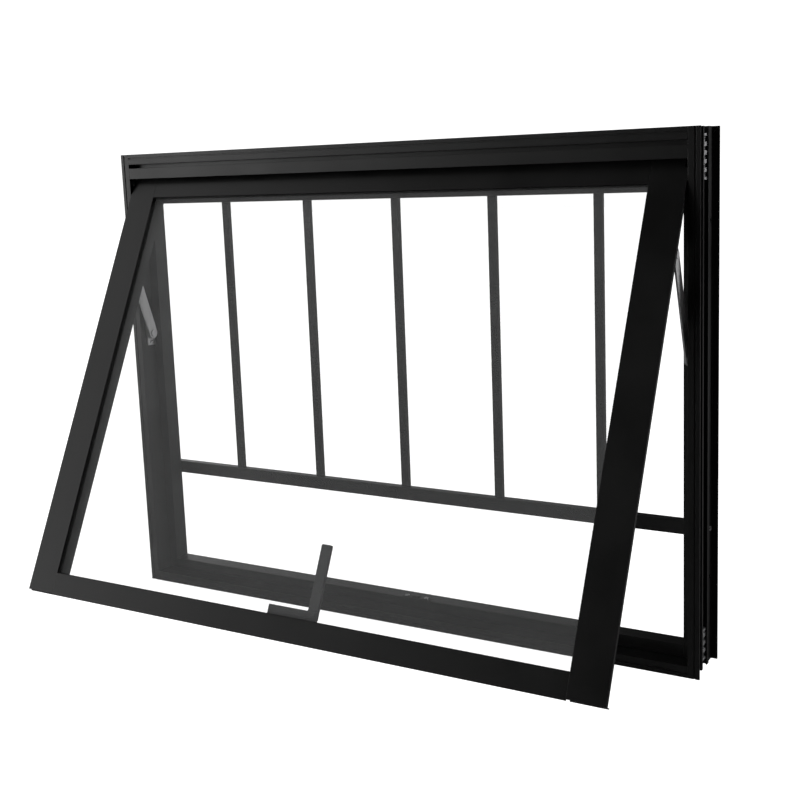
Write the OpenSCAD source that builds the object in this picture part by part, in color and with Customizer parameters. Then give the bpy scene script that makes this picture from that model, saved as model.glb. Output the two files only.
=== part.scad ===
// Top-hung projecting window with a fixed security grille.
// X runs along the width, Y from the outside to the room, Z up.
// Origin: middle of the width, outside plane of the frame, underside of the frame.
// The sash is designed closed and then swung out on its stays to the rest position.

/* [Frame] */
// Overall width of the frame
frame_w = 800; // [700:10:1000]
// Overall height of the frame
frame_h = 600; // [600:10:800]
// Overall depth of the frame
frame_d = 67.6; // [66:0.2:72]
// Wall thickness of the frame profiles
wall = 1.5; // [1.3:0.1:1.6]
// Width of the outside flange round the frame
flange_w = 13.3; // [12:0.1:14]
// Distance from the frame's edge to the inner face of the jambs and sill
stop_t = 26.5; // [25:0.5:28]
// Distance from the frame's top to the underside of the head's stop
head_stop_t = 38; // [37:0.5:39]
// Depth at which the stop face begins
stop_y = 26.5; // [26.3:0.1:27]
// Depth at which the chamber ends
chamber_y = 49; // [47:0.5:50]

/* [Sash] */
// Gap between the sash and the frame's pocket
sash_gap = 0.7; // [0.6:0.1:0.9]
// Depth of the sash
sash_d = 23; // [22:0.5:23]
// Visible width of the stiles
stile_face = 41; // [38:1:44]
// Visible height of the bottom rail
bottom_face = 27; // [26:1:30]
// Visible height of the top rail
top_face = 20; // [19:1:22]
// Thickness of the glass
glass_t = 4; // [3:0.5:4]
// Angle of the open sash at rest
open_deg = 26.2; // [10:0.1:30]

/* [Stays] */
// Height of the arm's fixed pivot on the jamb
pivot_z = 355; // [350:1:360]
// Length of the stay arm between its pivots
arm_len = 121; // [118:1:124]
// Distance on the sash from the arm's pivot to the sliding shoe's pivot
slide_len = 86; // [84:1:86]
// Width of the stay arm
arm_w = 15; // [12:1:15]
// Thickness of the stay arm
arm_t = 2; // [1.5:0.5:2]
// Depth of the pivots behind the outside plane
pivot_y = 18; // [17.5:0.1:18]

/* [Grille] */
// Number of upright bars
bar_count = 5; // [5:1:5]
// Width of an upright bar
bar_w = 10.4; // [8:0.2:12]
// Thickness of an upright bar
bar_t = 6; // [5:0.5:7]
// Height of the crossbar's underside
crossbar_z = 148.5; // [140:0.5:160]
// Height of the crossbar
crossbar_h = 16.5; // [14:0.5:18]
// Depth of the crossbar
crossbar_d = 10; // [8:0.5:11]

/* [Handle] */
// Distance of the lever's pivot to the right of the middle
lever_x = 23; // [0:1:40]
// Length of the lever above its pivot
lever_len = 85; // [76:1:88]
// Width of the lever
lever_w = 13; // [11:0.5:14]
// Thickness of the lever
lever_t = 4; // [3.5:0.5:4]

/* [Hidden] */
$fn = 48;

e = 0.01;                                  // keeps cutting solids clear of shared faces
half_w = frame_w / 2;
pocket_x = half_w - flange_w;              // inner face of the pocket that holds the sash
stop_x = half_w - stop_t;                  // inner face of the jamb
leg_t = 8.7;                               // inner face of the rear leg, from the frame's edge
rib_t = 5.5;                               // outer face of the chamber's ribs, from the frame's edge
flange_t = 2;                              // thickness of the outside flange
rear_flange_t = 1.6;
leg_y = 50.2;                              // where the rear leg steps inwards
rib_lip = 2.4;                             // returned lip of the chamber's open side
groove_t = 4.6;                            // shadow groove on the outside flange
groove_w = 1.7;
groove_depth = 1.2;
rear_y = frame_d - rear_flange_t;
butt_gap = 0.15;                           // fine line where two profiles meet

strip_top_t = 18.7;                        // drip strip's top, from the frame's top
strip_h = 14;
strip_hook_y = 13.4;

sash_w = 2 * (pocket_x - sash_gap);
half_sash = sash_w / 2;
sash_bottom = flange_w + sash_gap;
sash_top = frame_h - 31;                   // top of the sash's chambers
lip_top = frame_h - 23;                    // top of the sash's front face
fin_top = frame_h - 33;                    // the stiles' outer fins end here
fin_x = 381.5 - 400 + half_w;               // inner edge of the notch above them
sash_y = stop_y - 1.2 - sash_d;            // outside face of the closed sash
sash_back = sash_y + sash_d;
sash_skin = 2;
sash_wall = 1.6;
pocket_depth = 12;                         // glazing pocket in the stiles and bottom rail
top_pocket = 8;                            // glazing pocket in the top rail
glass_edge_x = half_sash - stile_face;     // visible edge of the glass
chamber_in_x = glass_edge_x + pocket_depth;
chamber_out_x = stop_x + 1.5;              // the stile's chamber laps over the jamb's stop by this much
glass_z0 = sash_bottom + bottom_face;      // lowest visible glass
glass_z1 = sash_top - top_face;            // highest visible glass
gasket_t = 0.8;
glass_y = sash_y + sash_skin + gasket_t;
glass_back = glass_y + glass_t;
bead_y = glass_back + gasket_t;
glass_bite = 7;                            // how far the glass goes into its pocket
top_bite = 5;
bead_sight = 0.6;                          // the beads stand back from the visible edge by this much
bottom_chamber_z = glass_z0 - pocket_depth;
top_chamber_z = glass_z1 + top_pocket;
corner_cut = 2.5;                          // bevel on the sash's top back edge

top_pivot_z = pivot_z + arm_len + slide_len;
arm_closed_to_rest = asin(slide_len * sin(open_deg) / arm_len);
top_rest_z = pivot_z + arm_len * cos(arm_closed_to_rest) + slide_len * cos(open_deg);

arm_x0 = 379.8 - 400 + half_w;             // inner face of the stay arm
pin_r = 3;
small_pin_r = 2.5;
pin_clear = 0.05;
plate_t = 1.5;
shoe_w = 10.8;
shoe_h = 28;
shoe_x0 = half_w - 17.8;
shoe_x1 = half_w - 14.7;
track_w = 14;
track_z0 = top_pivot_z - 46;
track_z1 = top_pivot_z + 17;
track_base = 1.2;
track_lip_x = half_w - 18;

crossbar_y = chamber_y + 0.5;
bar_y = crossbar_y + crossbar_d / 2;
bar_pitch = frame_w / (bar_count + 1);
bar_top = frame_h - leg_t;
crossbar_top = crossbar_z + crossbar_h;
crossbar_screw_y = crossbar_y + 7.5;
screw_r = 1.8;
head_r = 2.7;
port_r = 3.4;                              // screw port under the head's and sill's pocket wall
port_t = flange_w - wall - port_r + 0.2;
port_y = 18;
fixing_r = 2.6;
fixing_z = [100, 500];
fixing_y = 58.5;

lever_z = 44;
bead_back = sash_back - 0.4;
base_y = bead_back;
base_t = 5;
base_z0 = 31.5;
base_z1 = 53;
base_left = lever_x - 57;
base_right = lever_x + 7;
base_mid = (base_z0 + glass_z0 - bead_sight) / 2;
base_screw_x = [base_left + 9, base_left + 36];
lever_y = base_y + base_t + 0.5;
keeper_y0 = 27;
keeper_y1 = 30;
keeper_top = 30.2;

black = [0.07, 0.07, 0.075];
rubber = [0.03, 0.03, 0.03];
silver = [0.75, 0.75, 0.76];
steel = [0.62, 0.62, 0.63];

// ---------- helpers ----------

// A rectangle given by its corners.
module area(x0, y0, x1, y1) {
    translate([x0, y0]) square([x1 - x0, y1 - y0]);
}

// A box given by its corners.
module block(x0, y0, z0, x1, y1, z1) {
    translate([x0, y0, z0]) cube([x1 - x0, y1 - y0, z1 - z0]);
}

// A rod along X.
module rod_x(x0, x1, y, z, r) {
    translate([x0, y, z]) rotate([0, 90, 0]) cylinder(r = r, h = x1 - x0);
}

// A rod along Y.
module rod_y(y0, y1, x, z, r) {
    translate([x, y0, z]) rotate([-90, 0, 0]) cylinder(r = r, h = y1 - y0);
}

// A rod along Z.
module rod_z(z0, z1, x, y, r) {
    translate([x, y, z0]) cylinder(r = r, h = z1 - z0);
}

// Draws its children on one side: 1 is the right, -1 the left.
module on_side(side) {
    if (side > 0) children();
    else mirror([1, 0, 0]) children();
}

// Swings the closed sash out to its rest position.
module sash_at_rest() {
    translate([0, pivot_y, top_rest_z]) rotate([-open_deg, 0, 0])
        translate([0, -pivot_y, -top_pivot_z]) children();
}

// ---------- frame profiles ----------

// Outside flange and pocket wall; x is the distance in from the frame's edge.
module front_profile() {
    difference() {
        area(0, 0, flange_w, flange_t);
        area(groove_t, -e, groove_t + groove_w, groove_depth);
    }
    area(flange_w - wall, flange_t, flange_w, stop_y);
}

// Round port that the assembly screws cut their thread in.
module screw_port() {
    difference() {
        translate([port_t, port_y]) circle(port_r);
        translate([port_t, port_y]) circle(screw_r);
        area(flange_w - wall, 0, flange_w, stop_y);
    }
}

// Stop and chamber with its open outer side, for a stop that reaches in to depth_t.
module chamber_profile(depth_t) {
    area(rib_t, stop_y, depth_t, stop_y + wall);
    area(rib_t, stop_y + wall, rib_t + wall, stop_y + wall + rib_lip);
    area(depth_t - wall, stop_y + wall, depth_t, chamber_y - wall);
    area(rib_t, chamber_y - wall, depth_t, chamber_y);
    area(rib_t, chamber_y - wall - rib_lip, rib_t + wall, chamber_y - wall);
}

// Rear leg between the chamber and the rear flange.
module leg_profile() {
    area(rib_t, chamber_y, rib_t + wall, leg_y + wall);
    area(rib_t + wall, leg_y, leg_t, leg_y + wall);
    area(leg_t - wall, leg_y + wall, leg_t, rear_y);
}

// Rear flange of one side, mitred at both ends.
module rear_flange(length) {
    translate([0, rear_y, 0]) rotate([90, 0, 0]) mirror([0, 0, 1]) linear_extrude(rear_flange_t)
        polygon([[0, butt_gap], [leg_t, leg_t + butt_gap], [leg_t, length - leg_t - butt_gap],
            [0, length - butt_gap]]);
}

module right_jamb_shape() {
    difference() {
        union() {
            translate([half_w, 0, 0]) mirror([1, 0, 0]) {
                linear_extrude(frame_h) {
                    front_profile();
                    chamber_profile(stop_t);
                    leg_profile();
                }
                rear_flange(frame_h);
            }
        }
        for (z = fixing_z) rod_x(half_w - leg_t - 1, half_w, fixing_y, z, fixing_r);
        rod_x(half_w - leg_t - 1, half_w, crossbar_screw_y, crossbar_z + crossbar_h / 2, screw_r + 0.2);
        for (z = [port_t, frame_h - port_t]) rod_x(pocket_x - 1, pocket_x + wall + 1, port_y, z, screw_r + 0.2);
    }
}

// A head or sill profile run along X; top tells which way up it stands.
module cross_member(depth_t, top) {
    z_place = top ? frame_h : 0;
    flip = top ? 1 : 0;
    translate([0, 0, z_place]) mirror([0, 0, flip]) {
        run_along_x(pocket_x - butt_gap) {
            front_profile();
            screw_port();
        }
        run_along_x(stop_x - butt_gap) chamber_profile(depth_t);
        run_along_x(half_w - leg_t - butt_gap) leg_profile();
        translate([half_w, 0, 0]) rotate([0, -90, 0]) rear_flange(frame_w);
    }
}

// Extrudes a profile from -reach to reach along X, with its x upwards.
module run_along_x(reach) {
    translate([reach, 0, 0]) rotate([0, -90, 0]) linear_extrude(2 * reach) children();
}

module frame_head() {
    color(black) difference() {
        cross_member(head_stop_t, true);
        for (i = [1 : bar_count])
            rod_z(bar_top - 1, frame_h, (i - 3) * bar_pitch, bar_y, screw_r + 0.2);
    }
}

module frame_sill() {
    color(black) difference() {
        cross_member(stop_t, false);
        for (dx = [-14, 14]) rod_z(stop_t - wall - 1, stop_t + 1, lever_x + dx, 31.5, screw_r);
    }
}

module left_jamb() {
    color(black) on_side(-1) right_jamb_shape();
}

module right_jamb() {
    color(black) right_jamb_shape();
}

// Drip strip that hangs under the head and covers the sash's top edge.
module head_drip_strip() {
    reach = pocket_x - 0.3;
    color(black) translate([0, 0, frame_h]) mirror([0, 0, 1]) run_along_x(reach) {
        area(strip_top_t, 0, strip_top_t + strip_h, wall);
        area(strip_top_t, wall, strip_top_t + wall, strip_hook_y);
        area(flange_w, strip_hook_y - wall, strip_top_t, strip_hook_y);
    }
}

// Cast corner piece inside the open side of the chambers.
module corner_connector(arm) {
    y0 = stop_y + wall + 0.4;
    y1 = chamber_y - wall - 0.4;
    web = 3;
    rib = 4.5;
    rib_pitch = 9;
    inset = rib_t + wall + 0.3;
    depth = stop_t - wall - 0.4;
    block(inset, y0, inset, depth, y1, inset + web);
    block(inset + 1.6, y0, inset, inset + web, y1, arm);
    for (z = [inset + 9 : rib_pitch : arm - rib - 1]) block(inset, y0, z, inset + web, y1, z + rib);
    block(depth - web, y0, inset + 15, depth, y1, arm);
    block(inset, y0, arm - web, depth, y1, arm);
    block(inset + 15, y0, depth - web, depth, y1, depth);
}

module frame_corner_connectors() {
    color(silver) for (side = [-1, 1]) on_side(side)
        for (top = [0, 1]) translate([half_w, 0, top * frame_h]) mirror([0, 0, top])
            mirror([1, 0, 0]) corner_connector(top == 1 ? 56 : 44);
}

// Pan-head screw along X through a jamb's leg, head outside.
module side_screw(y, z, x_head, reach) {
    rod_x(x_head, x_head + 1.6, y, z, head_r);
    rod_x(x_head - reach, x_head, y, z, screw_r);
}

// Screws that pass through the jambs' pocket wall into the ports of the head and sill.
module frame_assembly_screws() {
    color(steel) for (side = [-1, 1]) on_side(side)
        for (z = [port_t, frame_h - port_t]) side_screw(port_y, z, pocket_x + wall, 14);
}

// ---------- grille ----------

module grille_crossbar() {
    end = half_w - leg_t;
    color(black) difference() {
        block(-end, crossbar_y, crossbar_z, end, crossbar_y + crossbar_d, crossbar_top);
        for (side = [-1, 1]) on_side(side)
            rod_x(end - 18, end + 1, crossbar_screw_y, crossbar_z + crossbar_h / 2, screw_r);
    }
}

module grille_bar(index) {
    x = (index - 3) * bar_pitch;
    color(black) difference() {
        block(x - bar_w / 2, bar_y - bar_t / 2, crossbar_top, x + bar_w / 2, bar_y + bar_t / 2, bar_top);
        rod_z(bar_top - 16, bar_top + 1, x, bar_y, screw_r);
    }
}

module grille_bar_1() { grille_bar(1); }
module grille_bar_2() { grille_bar(2); }
module grille_bar_3() { grille_bar(3); }
module grille_bar_4() { grille_bar(4); }
module grille_bar_5() { grille_bar(5); }

module crossbar_screws() {
    color(silver) for (side = [-1, 1]) on_side(side)
        side_screw(crossbar_screw_y, crossbar_z + crossbar_h / 2, half_w - leg_t + wall, 18);
}

module grille_bar_screws() {
    color(silver) for (i = [1 : bar_count]) {
        x = (i - 3) * bar_pitch;
        rod_z(frame_h - leg_t + wall, frame_h - leg_t + wall + 1.6, x, bar_y, head_r);
        rod_z(bar_top - 14, frame_h - leg_t + wall, x, bar_y, screw_r);
    }
}

// ---------- stay hardware on the frame ----------

module stay_track() {
    y0 = pivot_y - track_w / 2;
    y1 = pivot_y + track_w / 2;
    difference() {
        union() {
            block(pocket_x - track_base, y0, track_z0, pocket_x, y1, track_z1);
            block(track_lip_x, y0, track_z0, pocket_x - track_base, y0 + 1, track_z1);
            block(track_lip_x, y1 - 1, track_z0, pocket_x - track_base, y1, track_z1);
            block(track_lip_x, y0, track_z1 - wall, pocket_x - track_base, y1, track_z1);
        }
        for (z = [track_z0 + 5]) rod_x(pocket_x - 3, pocket_x + 1, pivot_y, z, screw_r);
    }
}

module left_stay_track() { color(rubber) on_side(-1) stay_track(); }
module right_stay_track() { color(rubber) stay_track(); }

module stay_track_screws() {
    color(steel) for (side = [-1, 1]) on_side(side)
        rod_x(pocket_x - track_base, pocket_x, pivot_y, track_z0 + 5, screw_r);
}

// Plate on the jamb with the pin that the stay arm turns on.
module pivot_bracket() {
    difference() {
        union() {
            block(pocket_x - 2, pivot_y - 7.5, pivot_z - 17, pocket_x, pivot_y + 7.5, pivot_z + 13);
            rod_x(arm_x0 + arm_t + 0.2, pocket_x - 2, pivot_y, pivot_z, 5.5);
            rod_x(arm_x0 - 0.2, arm_x0 + arm_t + 0.2, pivot_y, pivot_z, pin_r);
            rod_x(arm_x0 - 1.4, arm_x0 - 0.2, pivot_y, pivot_z, 5);
        }
        rod_x(pocket_x - 3, pocket_x + 1, pivot_y, pivot_z - 12.5, screw_r);
    }
}

module left_pivot_bracket() { color(silver) on_side(-1) pivot_bracket(); }
module right_pivot_bracket() { color(silver) pivot_bracket(); }

module pivot_bracket_screws() {
    color(steel) for (side = [-1, 1]) on_side(side) {
        rod_x(pocket_x - 2, pocket_x, pivot_y, pivot_z - 12.5, screw_r);
        rod_x(pocket_x - 3, pocket_x - 2, pivot_y, pivot_z - 12.5, 2.6);
    }
}

module handle_keeper() {
    color(rubber) difference() {
        union() {
            block(lever_x - 19, keeper_y0, stop_t, lever_x + 19, 36, stop_t + 1.2);
            block(lever_x - 6, keeper_y0, stop_t + 1.2, lever_x + 6, keeper_y1, keeper_top);
        }
        for (dx = [-14, 14]) rod_z(stop_t - 1, stop_t + 2, lever_x + dx, 31.5, screw_r);
    }
}

module keeper_screws() {
    color(steel) for (dx = [-14, 14]) {
        rod_z(stop_t - 6, stop_t + 1.2, lever_x + dx, 31.5, screw_r);
        rod_z(stop_t + 1.2, stop_t + 2, lever_x + dx, 31.5, 2.8);
    }
}

// ---------- sash ----------

// Stile section in plan; drawn at the right side.
module stile_profile() {
    area(glass_edge_x, sash_y, half_sash, sash_y + sash_skin);
    area(half_sash - sash_wall, sash_y + sash_skin, half_sash, sash_y + sash_skin + 2.6);
    difference() {
        area(chamber_in_x, sash_y + sash_skin, chamber_out_x, sash_back);
        area(chamber_in_x + sash_wall, sash_y + sash_skin, chamber_out_x - sash_wall, sash_back - sash_wall);
    }
}

module right_stile_shape() {
    skin_y = sash_y + sash_skin;
    difference() {
        translate([0, 0, sash_bottom + 1.4]) linear_extrude(lip_top - sash_bottom - 1.4) stile_profile();
        block(glass_edge_x - 1, skin_y, sash_top, half_sash + 1, sash_back + 1, lip_top + 1);
        block(stop_x - 0.8, sash_back - 5, top_pivot_z + 3, chamber_out_x + 1, sash_back + 1, sash_top + 1);
        block(fin_x, sash_y - 1, fin_top, half_sash + 1, sash_back, lip_top + 1);
        block(fin_x, skin_y, fin_top - 5, half_sash + 1, sash_back, fin_top + 1);
        top_bevel();
    }
}

// Cutting prism for the bevel along the sash's top back edge.
module top_bevel() {
    run_along_x(half_w) polygon([[sash_top - corner_cut - 1, sash_back + 1],
        [sash_top + 1, sash_back - corner_cut - 1], [sash_top + 1, sash_back + 1]]);
}

module left_stile() { color(black) sash_at_rest() on_side(-1) right_stile_shape(); }
module right_stile() { color(black) sash_at_rest() right_stile_shape(); }

// Hollow box run between the stiles, from z0 to z1.
module rail_chamber(z0, z1) {
    reach = chamber_in_x - 0.1;
    difference() {
        block(-reach, sash_y + sash_skin, z0, reach, sash_back, z1);
        block(-reach - 1, sash_y + sash_skin + sash_wall, z0 + sash_wall,
            reach + 1, sash_back - sash_wall, z1 - sash_wall);
    }
}

module sash_bottom_rail() {
    reach = glass_edge_x - butt_gap;
    color(black) sash_at_rest() {
        block(-reach, sash_y, sash_bottom, reach, sash_y + sash_skin, glass_z0);
        rail_chamber(sash_bottom + 2, bottom_chamber_z);
    }
}

module sash_top_rail() {
    reach = glass_edge_x - butt_gap;
    color(black) sash_at_rest() difference() {
        union() {
            block(-reach, sash_y, glass_z1, reach, sash_y + sash_skin, lip_top);
            rail_chamber(top_chamber_z, sash_top);
        }
        top_bevel();
    }
}

module glass_pane() {
    reach = glass_edge_x + glass_bite;
    color([0.75, 0.85, 0.83, 0.3]) sash_at_rest()
        block(-reach, glass_y, glass_z0 - glass_bite, reach, glass_back, glass_z1 + top_bite);
}

// Flat ring round the glass, from depth y0 to y1.
module glazing_ring(y0, y1, overhang) {
    reach = glass_edge_x + glass_bite;
    inner = glass_edge_x - overhang;
    difference() {
        block(-reach, y0, glass_z0 - glass_bite, reach, y1, glass_z1 + top_bite);
        block(-inner, y0 - 1, glass_z0 + overhang, inner, y1 + 1, glass_z1 - overhang);
    }
}

module front_glazing_gasket() {
    color(rubber) sash_at_rest() glazing_ring(glass_y - gasket_t, glass_y, 0.9);
}

module rear_glazing_gasket() {
    color(rubber) sash_at_rest() glazing_ring(glass_back, bead_y, 0.5);
}

module glass_setting_blocks() {
    z1 = glass_z0 - glass_bite;
    color(rubber) sash_at_rest() for (x = [-230, 230])
        block(x - 25, glass_y, bottom_chamber_z, x + 25, glass_back, z1);
}

// Hollow glazing bead standing on a pocket wall; length runs along local Z.
module bead_section(width) {
    difference() {
        area(0, bead_y, width, bead_back);
        area(1.2, bead_y + 1.2, width - 1.2, bead_back - 1.2);
    }
}

module side_bead() {
    z0 = glass_z0 - bead_sight;
    z1 = glass_z1 + bead_sight;
    width = pocket_depth - bead_sight;
    translate([chamber_in_x - width, 0, z0]) linear_extrude(z1 - z0) bead_section(width);
}

// Bead along a rail between two heights.
module rail_bead(z0, z1) {
    reach = chamber_in_x;
    translate([0, 0, z0]) run_along_x(reach) bead_section(z1 - z0);
}

module left_glazing_bead() { color(black) sash_at_rest() on_side(-1) side_bead(); }
module right_glazing_bead() { color(black) sash_at_rest() side_bead(); }
module top_glazing_bead() {
    color(black) sash_at_rest() rail_bead(glass_z1 + bead_sight, top_chamber_z);
}
module bottom_glazing_bead() {
    color(black) sash_at_rest() difference() {
        rail_bead(bottom_chamber_z, glass_z0 - bead_sight);
        for (x = base_screw_x) rod_y(base_y - 2, base_y + 1, x, base_mid, screw_r);
    }
}

// Aluminium angles that hold the sash's corners, inside the chambers.
module sash_corner_cleats() {
    inset = sash_wall + 0.3;
    x0 = chamber_in_x + inset;
    x1 = chamber_out_x - inset;
    y0 = sash_y + sash_skin + 3;
    y1 = sash_back - sash_wall - 3;
    color(silver) sash_at_rest() for (side = [-1, 1]) on_side(side) {
        block(x0, y0, sash_bottom + 3.9, x1, y1, sash_bottom + 60);
        block(x0, y0, sash_top - 60, x1, y1, sash_top - 5);
    }
}

// Rubber strip round the sash's back that meets the frame's stop.
module sash_weather_seal() {
    y1 = sash_back + 0.7;
    side_x = chamber_out_x - 4;
    z0 = sash_bottom + 3;
    z1 = top_pivot_z + 1;
    side_top = top_pivot_z - 2;
    color(rubber) sash_at_rest() {
        for (side = [-1, 1]) on_side(side) block(side_x, sash_back, z0, chamber_out_x, y1, side_top);
        block(-side_x, sash_back, z0, side_x, y1, z0 + 4);
        block(-side_x, sash_back, z1 - 2.4, side_x, y1, z1);
    }
}

// Plastic caps in the stiles' lower ends.
module stile_end_caps() {
    color(rubber) sash_at_rest() for (side = [-1, 1]) on_side(side)
        block(glass_edge_x + 4, sash_y + 0.5, sash_bottom, half_sash - 4, sash_back - 2, sash_bottom + 1.4);
}

// Plate on the stile with the pins for the arm and the sliding shoe.
module sash_hinge_plate() {
    arm_z = top_pivot_z - slide_len;
    x1 = chamber_out_x + plate_t;
    difference() {
        union() {
            block(chamber_out_x, pivot_y - 6, arm_z - 18, x1, pivot_y + 6, top_pivot_z + 5);
            rod_x(x1, arm_x0 - 0.3, pivot_y, arm_z, 5);
            rod_x(arm_x0 - 0.3, arm_x0 + arm_t + 0.3, pivot_y, arm_z, small_pin_r);
            rod_x(arm_x0 + arm_t + 0.3, arm_x0 + arm_t + 1.4, pivot_y, arm_z, 4.4);
            rod_x(x1, shoe_x0 - 0.3, pivot_y, top_pivot_z, 4.5);
            rod_x(shoe_x0 - 0.3, shoe_x1 - 0.1, pivot_y, top_pivot_z, small_pin_r);
        }
        for (z = hinge_screw_z()) rod_x(chamber_out_x - 1, x1 + 1, pivot_y, z, screw_r);
    }
}

function hinge_screw_z() = [top_pivot_z - slide_len - 12, top_pivot_z - slide_len / 2];

module left_sash_hinge_plate() { color(silver) sash_at_rest() on_side(-1) sash_hinge_plate(); }
module right_sash_hinge_plate() { color(silver) sash_at_rest() sash_hinge_plate(); }

module sash_hinge_screws() {
    x1 = chamber_out_x + plate_t;
    color(steel) sash_at_rest() for (side = [-1, 1]) on_side(side) for (z = hinge_screw_z()) {
        rod_x(chamber_out_x, x1, pivot_y, z, screw_r);
        rod_x(x1, x1 + 0.9, pivot_y, z, 2.8);
    }
}

module handle_base() {
    color([0.2, 0.2, 0.21]) sash_at_rest() difference() {
        union() {
            block(base_left + 3, base_y, base_z0, base_right, base_y + base_t, base_z1);
            block(base_left, base_y, base_z0, base_left + 3, base_y + base_t - 2, base_z1);
        }
        rod_y(base_y - 1, base_y + base_t + 1, lever_x, lever_z, small_pin_r + pin_clear);
        for (x = base_screw_x) rod_y(base_y - 1, base_y + base_t + 1, x, base_mid, screw_r);
    }
}

module handle_base_screws() {
    color(steel) sash_at_rest() for (x = base_screw_x)
        rod_y(base_y - 4, base_y + base_t - 1.2, x, base_mid, screw_r);
}

// ---------- parts that move against the sash and frame ----------

module stay_arm() {
    translate([0, pivot_y, pivot_z]) rotate([arm_closed_to_rest, 0, 0])
        translate([0, -pivot_y, -pivot_z]) difference() {
            union() {
                rod_x(arm_x0, arm_x0 + arm_t, pivot_y, pivot_z, arm_w / 2);
                rod_x(arm_x0, arm_x0 + arm_t, pivot_y, pivot_z + arm_len, arm_w / 2);
                block(arm_x0, pivot_y - arm_w / 2, pivot_z, arm_x0 + arm_t, pivot_y + arm_w / 2,
                    pivot_z + arm_len);
            }
            rod_x(arm_x0 - 1, arm_x0 + arm_t + 1, pivot_y, pivot_z, pin_r + pin_clear);
            rod_x(arm_x0 - 1, arm_x0 + arm_t + 1, pivot_y, pivot_z + arm_len, small_pin_r + pin_clear);
        }
}

module left_stay_arm() { color(silver) on_side(-1) stay_arm(); }
module right_stay_arm() { color(silver) stay_arm(); }

module slide_shoe() {
    round_r = shoe_w / 2;
    difference() {
        union() {
            block(shoe_x0, pivot_y - round_r, top_rest_z - shoe_h / 2 + round_r,
                shoe_x1, pivot_y + round_r, top_rest_z + shoe_h / 2 - round_r);
            for (dz = [-1, 1])
                rod_x(shoe_x0, shoe_x1, pivot_y, top_rest_z + dz * (shoe_h / 2 - round_r), round_r);
        }
        rod_x(shoe_x0 - 1, shoe_x1 + 1, pivot_y, top_rest_z, small_pin_r + pin_clear);
    }
}

module left_slide_shoe() { color([0.15, 0.15, 0.15]) on_side(-1) slide_shoe(); }
module right_slide_shoe() { color([0.15, 0.15, 0.15]) slide_shoe(); }

// L-shaped lever: a straight grip and a short nose that hooks behind the keeper.
module handle_lever() {
    nose = 15.8;
    nose_half = 4.8;
    tip_r = 3;
    y1 = lever_y + lever_t;
    hub_r = 6;
    fillet = 8;
    color([0.2, 0.2, 0.21]) sash_at_rest() difference() {
        union() {
            rod_y(lever_y, y1, lever_x, lever_z, hub_r);
            block(lever_x - lever_w / 2, lever_y, lever_z, lever_x + lever_w / 2, y1, lever_z + lever_len - 2);
            block(lever_x - lever_w / 2 + 2, lever_y, lever_z, lever_x + lever_w / 2 - 2, y1,
                lever_z + lever_len);
            for (dx = [-1, 1])
                rod_y(lever_y, y1, lever_x + dx * (lever_w / 2 - 2), lever_z + lever_len - 2, 2);
            block(lever_x - nose + tip_r, lever_y, lever_z - nose_half, lever_x, y1, lever_z + nose_half);
            block(lever_x - nose, lever_y, lever_z - nose_half + tip_r, lever_x, y1,
                lever_z + nose_half - tip_r);
            for (dz = [-1, 1])
                rod_y(lever_y, y1, lever_x - nose + tip_r, lever_z + dz * (nose_half - tip_r), tip_r);
            difference() {
                block(lever_x - lever_w / 2 - fillet, lever_y, lever_z, lever_x, y1,
                    lever_z + nose_half + fillet);
                rod_y(lever_y - 1, y1 + 1, lever_x - lever_w / 2 - fillet,
                    lever_z + nose_half + fillet, fillet);
                block(lever_x - lever_w / 2 - fillet - 1, lever_y - 1, lever_z - 1,
                    lever_x - nose, y1 + 1, lever_z + nose_half + fillet + 1);
            }
        }
        rod_y(lever_y - 1, y1 + 1, lever_x, lever_z, small_pin_r);
    }
}

module handle_pivot_pin() {
    y1 = lever_y + lever_t;
    color([0.2, 0.2, 0.21]) sash_at_rest() {
        rod_y(base_y + 0.3, y1, lever_x, lever_z, small_pin_r);
        rod_y(y1, y1 + 1.2, lever_x, lever_z, 4);
    }
}

frame_head();
frame_sill();
left_jamb();
right_jamb();
head_drip_strip();
frame_corner_connectors();
frame_assembly_screws();
grille_crossbar();
grille_bar_1();
grille_bar_2();
grille_bar_3();
grille_bar_4();
grille_bar_5();
crossbar_screws();
grille_bar_screws();
left_stay_track();
right_stay_track();
stay_track_screws();
left_pivot_bracket();
right_pivot_bracket();
pivot_bracket_screws();
handle_keeper();
keeper_screws();
left_stile();
right_stile();
sash_top_rail();
sash_bottom_rail();
glass_pane();
front_glazing_gasket();
rear_glazing_gasket();
glass_setting_blocks();
left_glazing_bead();
right_glazing_bead();
top_glazing_bead();
bottom_glazing_bead();
sash_corner_cleats();
sash_weather_seal();
stile_end_caps();
left_sash_hinge_plate();
right_sash_hinge_plate();
sash_hinge_screws();
handle_base();
handle_base_screws();
left_stay_arm();
right_stay_arm();
left_slide_shoe();
right_slide_shoe();
handle_lever();
handle_pivot_pin();
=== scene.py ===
import math

import bpy
from mathutils import Matrix, Vector


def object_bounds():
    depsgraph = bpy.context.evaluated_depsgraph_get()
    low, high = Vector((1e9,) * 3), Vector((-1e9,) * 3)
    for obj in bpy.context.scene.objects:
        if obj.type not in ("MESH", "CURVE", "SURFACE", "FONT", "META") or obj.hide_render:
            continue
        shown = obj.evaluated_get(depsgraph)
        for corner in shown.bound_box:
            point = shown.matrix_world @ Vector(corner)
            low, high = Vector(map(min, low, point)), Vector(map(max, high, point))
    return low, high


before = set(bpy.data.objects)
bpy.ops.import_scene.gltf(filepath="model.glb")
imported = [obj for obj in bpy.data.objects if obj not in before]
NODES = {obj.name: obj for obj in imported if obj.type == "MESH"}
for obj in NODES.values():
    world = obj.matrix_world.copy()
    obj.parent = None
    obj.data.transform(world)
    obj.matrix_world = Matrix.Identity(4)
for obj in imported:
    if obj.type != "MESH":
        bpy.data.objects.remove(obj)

cad_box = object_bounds()
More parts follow.
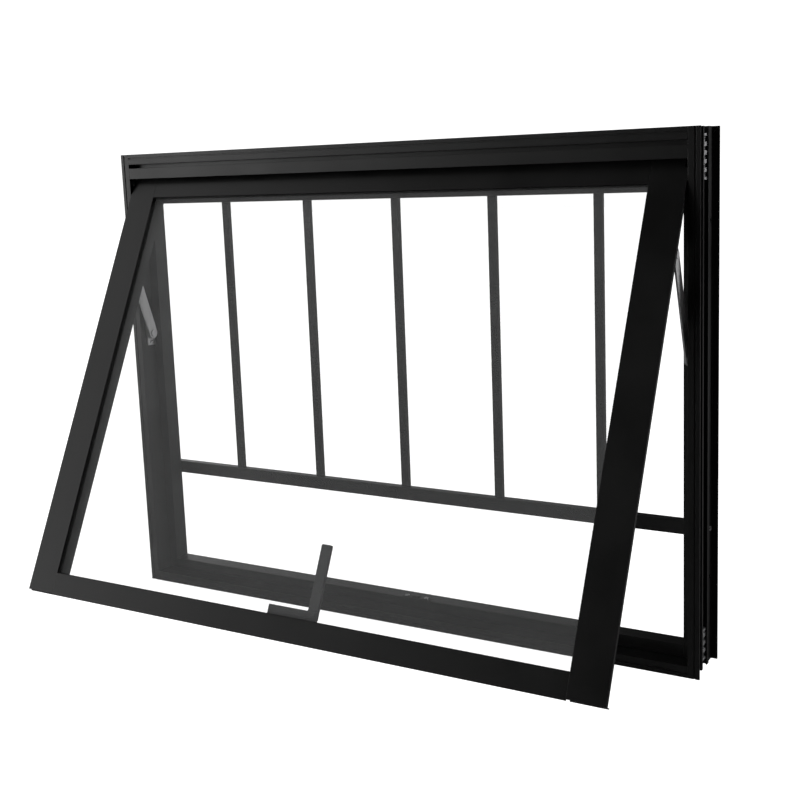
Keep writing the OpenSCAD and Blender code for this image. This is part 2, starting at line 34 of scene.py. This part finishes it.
MM = 0.001

# ---------- material helpers ----------


def new_material(name):
    """A new node material, with its node tree and its Principled shader."""
    mat = bpy.data.materials.new(name)
    mat.use_nodes = True
    tree = mat.node_tree
    shader = tree.nodes["Principled BSDF"]
    return mat, tree, shader


def add(tree, kind, **values):
    """A new node with its inputs set by name or number."""
    made = tree.nodes.new(kind)
    for key, value in values.items():
        made.inputs[key.replace("_", " ")].default_value = value
    return made


def link(tree, source, target):
    tree.links.new(source, target)


def place(tree, stretch=(1, 1, 1)):
    """Object coordinates in metres, stretched along some axes."""
    coord = tree.nodes.new("ShaderNodeTexCoord")
    mapping = tree.nodes.new("ShaderNodeMapping")
    mapping.inputs["Scale"].default_value = stretch
    link(tree, coord.outputs["Object"], mapping.inputs["Vector"])
    return mapping.outputs["Vector"]


def noise(tree, vector, scale, detail=4.0, rough=0.55):
    made = add(tree, "ShaderNodeTexNoise", Scale=scale, Detail=detail, Roughness=rough)
    link(tree, vector, made.inputs["Vector"])
    return made.outputs["Fac"]


def spread(tree, value, low, high, source=(0.3, 0.7)):
    """Maps a value from the source range to low and high."""
    made = tree.nodes.new("ShaderNodeMapRange")
    made.inputs["From Min"].default_value = source[0]
    made.inputs["From Max"].default_value = source[1]
    made.inputs["To Min"].default_value = low
    made.inputs["To Max"].default_value = high
    link(tree, value, made.inputs["Value"])
    return made.outputs["Result"]


def mix_colour(tree, factor, first, second):
    """Blends two colours by a factor; each is a colour or a socket."""
    made = tree.nodes.new("ShaderNodeMix")
    made.data_type = "RGBA"
    link(tree, factor, made.inputs["Factor"])
    for socket, value in ((made.inputs[6], first), (made.inputs[7], second)):
        if isinstance(value, tuple):
            socket.default_value = (*value, 1)
        else:
            link(tree, value, socket)
    return made.outputs[2]


def maths(tree, operation, first, second):
    """A Math node on sockets or numbers."""
    made = tree.nodes.new("ShaderNodeMath")
    made.operation = operation
    for socket, value in zip(made.inputs, (first, second)):
        if isinstance(value, (int, float)):
            socket.default_value = value
        else:
            link(tree, value, socket)
    return made.outputs[0]


def rounded_edges(tree, radius):
    """The normal of softened edges, and a mask that is 1 on the edges."""
    bevel = tree.nodes.new("ShaderNodeBevel")
    bevel.samples = 4
    bevel.inputs["Radius"].default_value = radius
    geometry = tree.nodes.new("ShaderNodeNewGeometry")
    dot = tree.nodes.new("ShaderNodeVectorMath")
    dot.operation = "DOT_PRODUCT"
    link(tree, bevel.outputs["Normal"], dot.inputs[0])
    link(tree, geometry.outputs["Normal"], dot.inputs[1])
    mask = spread(tree, dot.outputs["Value"], 1.0, 0.0, (0.86, 0.995))
    return bevel.outputs["Normal"], mask


def bump(tree, shader, layers, normal=None):
    """Stacks bump layers, each (height socket, strength, distance in metres)."""
    last = normal
    for height, strength, distance in layers:
        made = add(tree, "ShaderNodeBump", Strength=strength, Distance=distance)
        link(tree, height, made.inputs["Height"])
        if last is not None:
            link(tree, last, made.inputs["Normal"])
        last = made.outputs["Normal"]
    link(tree, last, shader.inputs["Normal"])


# ---------- materials ----------


def powder_coat(name, dark, light, gloss=(0.30, 0.42), grain_axis=2):
    """Satin powder coat on an extrusion: orange peel, die lines along the profile, dust, rubbed edges."""
    mat, tree, shader = new_material(name)
    shader.inputs["Metallic"].default_value = 0.0
    shader.inputs["IOR"].default_value = 1.5
    free = place(tree)
    along = [900.0, 900.0, 900.0]
    along[grain_axis] = 5.0
    lines = noise(tree, place(tree, tuple(along)), 1.0, 3.0)
    peel = noise(tree, free, 1400.0, 2.0)
    cloud = noise(tree, free, 9.0, 5.0)
    speck = noise(tree, free, 3200.0, 1.0)
    normal, edge = rounded_edges(tree, 0.45 * MM)
    base = mix_colour(tree, spread(tree, cloud, 0.0, 1.0), dark, light)
    dusty = tuple(min(1.0, c * 1.9 + 0.004) for c in light)
    flecked = mix_colour(tree, spread(tree, speck, 0.0, 0.5, (0.66, 0.78)), base, dusty)
    worn = tuple(min(1.0, c * 3.2 + 0.012) for c in light)
    worn_mask = maths(tree, "MULTIPLY", edge, spread(tree, cloud, 0.12, 0.42))
    link(tree, mix_colour(tree, worn_mask, flecked, worn), shader.inputs["Base Color"])
    rough = spread(tree, cloud, *gloss)
    rough = maths(tree, "ADD", rough, spread(tree, peel, -0.02, 0.03))
    link(tree, rough, shader.inputs["Roughness"])
    bump(tree, shader, [(lines, 0.10, 0.02 * MM), (peel, 0.16, 0.02 * MM)], normal)
    return mat


def brushed_metal(name, dark, light, grain_axis, gloss, metallic=1.0):
    """Bare drawn or brushed metal: streaks along one axis, smudges and bright edges."""
    mat, tree, shader = new_material(name)
    free = place(tree)
    along = [1600.0, 1600.0, 1600.0]
    along[grain_axis] = 30.0
    shader.inputs["Metallic"].default_value = metallic
    streak = noise(tree, place(tree, tuple(along)), 1.0, 4.0, 0.65)
    smudge = noise(tree, free, 60.0, 5.0)
    normal, edge = rounded_edges(tree, 0.3 * MM)
    base = mix_colour(tree, spread(tree, streak, 0.0, 1.0), dark, light)
    stained = spread(tree, smudge, 0.0, 0.35, (0.5, 0.75))
    spotted = mix_colour(tree, stained, base, tuple(c * 0.62 for c in dark))
    bright = tuple(min(1.0, c * 1.15) for c in light)
    link(tree, mix_colour(tree, edge, spotted, bright), shader.inputs["Base Color"])
    rough = maths(tree, "ADD", spread(tree, streak, *gloss), spread(tree, smudge, -0.03, 0.08))
    link(tree, rough, shader.inputs["Roughness"])
    bump(tree, shader, [(streak, 0.18, 0.02 * MM), (smudge, 0.08, 0.05 * MM)], normal)
    return mat


def cast_metal(name):
    """Cast aluminium of the corner pieces: coarse grain, dull grey with darker pits."""
    mat, tree, shader = new_material(name)
    shader.inputs["Metallic"].default_value = 0.85
    free = place(tree)
    grain = noise(tree, free, 1100.0, 6.0, 0.7)
    cell = add(tree, "ShaderNodeTexVoronoi", Scale=420.0)
    link(tree, free, cell.inputs["Vector"])
    normal, _ = rounded_edges(tree, 0.5 * MM)
    base = mix_colour(tree, spread(tree, grain, 0.0, 1.0), (0.34, 0.34, 0.35), (0.66, 0.66, 0.67))
    pits = spread(tree, cell.outputs["Distance"], 0.5, 0.0, (0.0, 0.35))
    link(tree, mix_colour(tree, pits, base, (0.2, 0.2, 0.205)), shader.inputs["Base Color"])
    link(tree, spread(tree, grain, 0.38, 0.62), shader.inputs["Roughness"])
    bump(tree, shader, [(grain, 0.5, 0.08 * MM), (cell.outputs["Distance"], 0.3, 0.1 * MM)], normal)
    return mat


def soft_black(name, dark, light, rough, grain_scale):
    """Rubber or moulded plastic: fine grain, bloom and rubbed edges."""
    mat, tree, shader = new_material(name)
    free = place(tree)
    grain = noise(tree, free, grain_scale, 3.0)
    bloom = noise(tree, free, 40.0, 5.0)
    normal, edge = rounded_edges(tree, 0.35 * MM)
    base = mix_colour(tree, spread(tree, bloom, 0.0, 1.0), dark, light)
    rubbed = maths(tree, "MULTIPLY", edge, 0.4)
    link(tree, mix_colour(tree, rubbed, base, tuple(c * 2.2 for c in light)), shader.inputs["Base Color"])
    link(tree, spread(tree, bloom, *rough), shader.inputs["Roughness"])
    bump(tree, shader, [(grain, 0.35, 0.05 * MM)], normal)
    return mat


def clear_glass(name):
    """Float glass: clear, with a faint haze, smears, dust and a slight roller waviness."""
    mat, tree, shader = new_material(name)
    shader.inputs["IOR"].default_value = 1.52
    shader.inputs["Metallic"].default_value = 0.0
    free = place(tree)
    smear = noise(tree, place(tree, (3.0, 3.0, 14.0)), 2.2, 6.0, 0.6)
    dust = noise(tree, free, 1500.0, 2.0)
    wave = noise(tree, place(tree, (1.0, 1.0, 4.0)), 1.6, 1.0)
    haze = mix_colour(tree, spread(tree, smear, 0.0, 1.0), (0.88, 0.89, 0.89), (0.94, 0.95, 0.95))
    link(tree, haze, shader.inputs["Base Color"])
    link(tree, spread(tree, smear, 0.02, 0.07), shader.inputs["Roughness"])
    dusted = spread(tree, dust, 0.0, 0.01, (0.68, 0.8))
    link(tree, maths(tree, "ADD", spread(tree, smear, 0.088, 0.102), dusted), shader.inputs["Alpha"])
    bump(tree, shader, [(wave, 0.05, 0.4 * MM)])
    mat.surface_render_method = "BLENDED"
    return mat


# Each colour is a pair, its darker and its lighter tone.
BLACK = ((0.0030, 0.0030, 0.0031), (0.0048, 0.0047, 0.0047))
GRILLE_BLACK = ((0.005, 0.005, 0.0052), (0.008, 0.008, 0.0082))
HANDLE_GREY = ((0.066, 0.066, 0.069), (0.084, 0.084, 0.087))
BARE_METAL = ((0.56, 0.56, 0.57), (0.80, 0.80, 0.81))
RUBBER = ((0.008, 0.008, 0.008), (0.014, 0.014, 0.014))
PLASTIC = ((0.010, 0.010, 0.010), (0.018, 0.018, 0.018))

MATERIALS = {
    "upright": powder_coat("powder_coat_upright", *BLACK, grain_axis=2),
    "level": powder_coat("powder_coat_level", *BLACK, grain_axis=0),
    "grille": powder_coat("powder_coat_grille", *GRILLE_BLACK, gloss=(0.34, 0.46)),
    "handle": powder_coat("handle_paint_grey", *HANDLE_GREY, gloss=(0.36, 0.48)),
    "stay": brushed_metal("stay_metal_brushed", *BARE_METAL, grain_axis=2, gloss=(0.42, 0.6), metallic=0.7),
    "screw": brushed_metal("screw_zinc", *BARE_METAL, grain_axis=1, gloss=(0.2, 0.34)),
    "cast": cast_metal("corner_cast_aluminium"),
    "rubber": soft_black("seal_rubber_black", *RUBBER, rough=(0.55, 0.75), grain_scale=2600.0),
    "plastic": soft_black("plastic_black", *PLASTIC, rough=(0.38, 0.52), grain_scale=1900.0),
    "glass": clear_glass("glass_clear"),
}

GRILLE_BARS = [f"grille_bar_{i}" for i in range(1, 6)]

FINISH = {
    "upright": ["left_jamb", "right_jamb", "left_stile", "right_stile", "left_glazing_bead",
                "right_glazing_bead"],
    "level": ["frame_head", "frame_sill", "head_drip_strip", "sash_top_rail", "sash_bottom_rail",
              "top_glazing_bead", "bottom_glazing_bead"],
    "grille": ["grille_crossbar"] + GRILLE_BARS,
    "handle": ["handle_base", "handle_lever", "handle_pivot_pin"],
    "stay": ["left_pivot_bracket", "right_pivot_bracket",
             "left_sash_hinge_plate", "right_sash_hinge_plate", "left_stay_arm", "right_stay_arm"],
    "screw": ["frame_assembly_screws", "crossbar_screws", "grille_bar_screws", "stay_track_screws",
              "pivot_bracket_screws", "keeper_screws", "sash_hinge_screws", "handle_base_screws"],
    "cast": ["frame_corner_connectors", "sash_corner_cleats"],
    "rubber": ["front_glazing_gasket", "rear_glazing_gasket", "glass_setting_blocks", "sash_weather_seal"],
    "plastic": ["left_stay_track", "right_stay_track", "handle_keeper", "stile_end_caps",
                "left_slide_shoe", "right_slide_shoe"],
    "glass": ["glass_pane"],
}


for finish, members in FINISH.items():
    for member in members:
        slots = NODES[member].data.materials
        slots.clear()
        slots.append(MATERIALS[finish])

SHARP_ANGLE = 40           # degrees between faces that make an edge


def soften(node, width):
    """Rounds a node's sharp edges by a small real radius, with modifiers only."""
    piece = NODES[node]
    weld = piece.modifiers.new("weld", "WELD")
    weld.merge_threshold = 0.002 * MM
    bevel = piece.modifiers.new("edge_radius", "BEVEL")
    bevel.width = width
    bevel.segments = 2
    bevel.limit_method = "ANGLE"
    bevel.angle_limit = math.radians(SHARP_ANGLE)
    bevel.harden_normals = False


EDGE_RADIUS = {"handle_lever": 0.9 * MM, "handle_base": 0.6 * MM, "grille_crossbar": 0.6 * MM,
               "stile_end_caps": 0.25 * MM}
EDGE_RADIUS.update({bar: 0.8 * MM for bar in GRILLE_BARS})
for node, width in EDGE_RADIUS.items():
    soften(node, width)

# ---------- camera, floor and light ----------

CAMERA_PLACE = Vector((0.797, -1.262, 0.574))
CAMERA_YAW = math.radians(31.89)
CAMERA_PITCH = math.radians(-9.60)
CAMERA_ROLL = math.radians(-2.32)
FOCAL_SHARE = 1.543        # focal length over the picture's width
CAMERA_SHIFT = (0.016, -0.034)
SENSOR = 36.0              # millimetres
WHITE = 1.2                # strength of what the camera sees behind and below the window
FLOOR_REACH = 12.0         # metres from the middle to the floor's edge
FLOOR_GAP = 0.002          # metres between the window and the floor
AIM = (0, 0, 0.3)          # middle of the window, where the lights point


def make_camera():
    """The camera at the reference viewpoint."""
    cy, sy = math.cos(CAMERA_YAW), math.sin(CAMERA_YAW)
    cp, sp = math.cos(CAMERA_PITCH), math.sin(CAMERA_PITCH)
    forward = Vector((-sy * cp, cy * cp, sp))
    right = Vector((cy, sy, 0))
    up = right.cross(forward)
    cr, sr = math.cos(CAMERA_ROLL), math.sin(CAMERA_ROLL)
    side = right * cr + up * sr
    top = up * cr - right * sr
    data = bpy.data.cameras.new("camera")
    data.sensor_width = SENSOR
    data.lens = FOCAL_SHARE * SENSOR
    data.shift_x, data.shift_y = CAMERA_SHIFT
    data.clip_start = 0.05
    data.clip_end = 60
    camera = bpy.data.objects.new("camera", data)
    camera.matrix_world = Matrix((
        (side.x, top.x, -forward.x, CAMERA_PLACE.x),
        (side.y, top.y, -forward.y, CAMERA_PLACE.y),
        (side.z, top.z, -forward.z, CAMERA_PLACE.z),
        (0, 0, 0, 1)))
    bpy.context.scene.collection.objects.link(camera)
    bpy.context.scene.camera = camera


def make_floor():
    """A plain floor under the window, white to the camera and greyer to the light it sends back."""
    mesh = bpy.data.meshes.new("floor")
    far = FLOOR_REACH
    corners = [(-far, -far, 0), (far, -far, 0), (far, far, 0), (-far, far, 0)]
    mesh.from_pydata(corners, [], [(0, 1, 2, 3)])
    floor = bpy.data.objects.new("floor", mesh)
    floor.location.z = cad_box[0].z - FLOOR_GAP
    bpy.context.scene.collection.objects.link(floor)
    mat, tree, shader = new_material("floor_pale")
    shader.inputs["Roughness"].default_value = 0.9
    shader.inputs["Specular IOR Level"].default_value = 0.1
    tone = noise(tree, place(tree), 6.0, 4.0)
    link(tree, mix_colour(tree, tone, (0.42, 0.42, 0.42), (0.46, 0.46, 0.46)), shader.inputs["Base Color"])
    shader.inputs["Emission Color"].default_value = (1, 1, 1, 1)
    rays = tree.nodes.new("ShaderNodeLightPath")
    glow = spread(tree, rays.outputs["Is Camera Ray"], 0.0, WHITE, (0.0, 1.0))
    link(tree, glow, shader.inputs["Emission Strength"])
    mesh.materials.append(mat)


def make_world():
    """White behind the window; for the light itself, a soft wash from the left, strongest low down."""
    world = bpy.data.worlds.new("studio")
    bpy.context.scene.world = world
    world.use_nodes = True
    tree = world.node_tree
    tree.nodes.clear()
    coord = tree.nodes.new("ShaderNodeTexCoord")
    split = tree.nodes.new("ShaderNodeSeparateXYZ")
    link(tree, coord.outputs["Generated"], split.inputs[0])
    left = spread(tree, split.outputs["X"], 2.4, 0.0, (-0.74, -0.475))
    low = spread(tree, split.outputs["Z"], 2.4, 0.35, (0.0, 0.22))
    behind = spread(tree, split.outputs["Y"], 0.0, 1.0, (0.2, 0.5))
    raised = spread(tree, split.outputs["Z"], 0.0, 1.0, (0.20, 0.30))
    kept = maths(tree, "SUBTRACT", 1.0, maths(tree, "MULTIPLY", behind, raised))
    top = spread(tree, split.outputs["Z"], 0.0, 0.35, (0.80, 1.0))
    side = maths(tree, "MULTIPLY", maths(tree, "MULTIPLY", left, low), kept)
    wash = maths(tree, "ADD", side, maths(tree, "ADD", top, 0.008))
    soft = tree.nodes.new("ShaderNodeBackground")
    soft.inputs["Color"].default_value = (1, 1, 1, 1)
    link(tree, wash, soft.inputs["Strength"])
    white = tree.nodes.new("ShaderNodeBackground")
    white.inputs["Color"].default_value = (1, 1, 1, 1)
    white.inputs["Strength"].default_value = WHITE
    rays = tree.nodes.new("ShaderNodeLightPath")
    choose = tree.nodes.new("ShaderNodeMixShader")
    link(tree, rays.outputs["Is Camera Ray"], choose.inputs[0])
    link(tree, soft.outputs[0], choose.inputs[1])
    link(tree, white.outputs[0], choose.inputs[2])
    out = tree.nodes.new("ShaderNodeOutputWorld")
    link(tree, choose.outputs[0], out.inputs["Surface"])


def area_light(name, place_at, size, power):
    """A square soft light that points at the window."""
    data = bpy.data.lights.new(name, "AREA")
    data.shape = "SQUARE"
    data.size = size
    data.energy = power
    lamp = bpy.data.objects.new(name, data)
    lamp.location = place_at
    lamp.rotation_mode = "QUATERNION"
    lamp.rotation_quaternion = (Vector(AIM) - Vector(place_at)).to_track_quat("-Z", "Y")
    bpy.context.scene.collection.objects.link(lamp)


make_camera()
make_floor()
make_world()
area_light("key_left", (-2.6, -1.6, 2.0), 1.8, 1.2)
area_light("top_soft", (0.2, 0.6, 3.0), 2.4, 4)
area_light("back_soft", (-1.3, 2.8, 0.55), 0.8, 0.9)
area_light("side_right", (2.6, 1.5, 0.8), 0.9, 20)
bpy.context.scene.view_settings.view_transform = "Standard"
